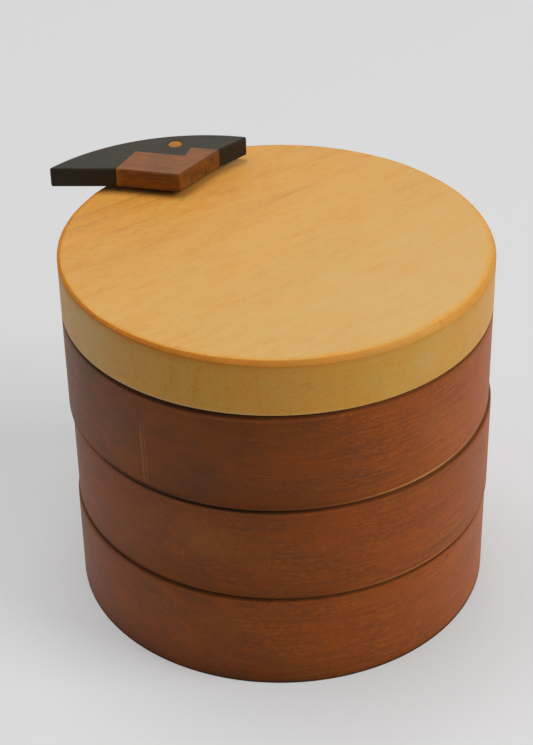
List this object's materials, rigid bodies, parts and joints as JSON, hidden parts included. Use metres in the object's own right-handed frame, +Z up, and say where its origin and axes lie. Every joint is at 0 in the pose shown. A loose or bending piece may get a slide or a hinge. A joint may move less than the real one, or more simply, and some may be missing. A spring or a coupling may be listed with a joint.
{
  "type": "stacking trinket box",
  "caption": "Round wooden trinket box of stacked trays under a thick lid, all swinging out sideways on a shared upright dowel, with a crescent handle of mixed woods on top.",
  "frame": {"origin": "centre of the bottom tray's underside, on the surface that the box stands on", "axes": "+Z up, +Y from the centre towards the dowel that the tiers swing on, +X square to both, to the right of +Y seen from above"},
  "size_m": [0.131, 0.1347, 0.1242],
  "materials": {
    "tray_wood": "oiled red-brown hardwood, satin",
    "floor_wood": "oiled red-brown panel, satin",
    "lid_wood": "oiled pale golden hardwood, satin",
    "black_wood": "black hardwood, satin",
    "brown_wood": "warm brown hardwood, satin",
    "dowel_wood": "pale end grain, sanded"
  },
  "bodies": {
    "base_tray": {"base_ring": "tray_wood", "base_floor": "floor_wood"},
    "middle_tray": {"middle_ring": "tray_wood", "middle_floor": "floor_wood"},
    "upper_tray": {"upper_ring": "tray_wood", "upper_floor": "floor_wood"},
    "lid": {"lid": "lid_wood"},
    "handle": {"handle_wing": "black_wood", "handle_block": "brown_wood", "pivot_pin": "dowel_wood"}
  },
  "joints": [
    {"name": "middle_swivel", "type": "hinge", "parent": "base_tray", "child": "middle_tray", "pos_m": [0, 0.059, 0], "axis": [0, 0, 1], "continuous": true},
    {"name": "upper_swivel", "type": "hinge", "parent": "middle_tray", "child": "upper_tray", "pos_m": [0, 0.059, 0], "axis": [0, 0, 1], "continuous": true},
    {"name": "lid_swivel", "type": "hinge", "parent": "upper_tray", "child": "lid", "pos_m": [0, 0.059, 0], "axis": [0, 0, 1], "continuous": true},
    {"name": "handle_swivel", "type": "hinge", "parent": "base_tray", "child": "handle", "pos_m": [0, 0.059, 0], "axis": [0, 0, 1], "continuous": true}
  ]
}
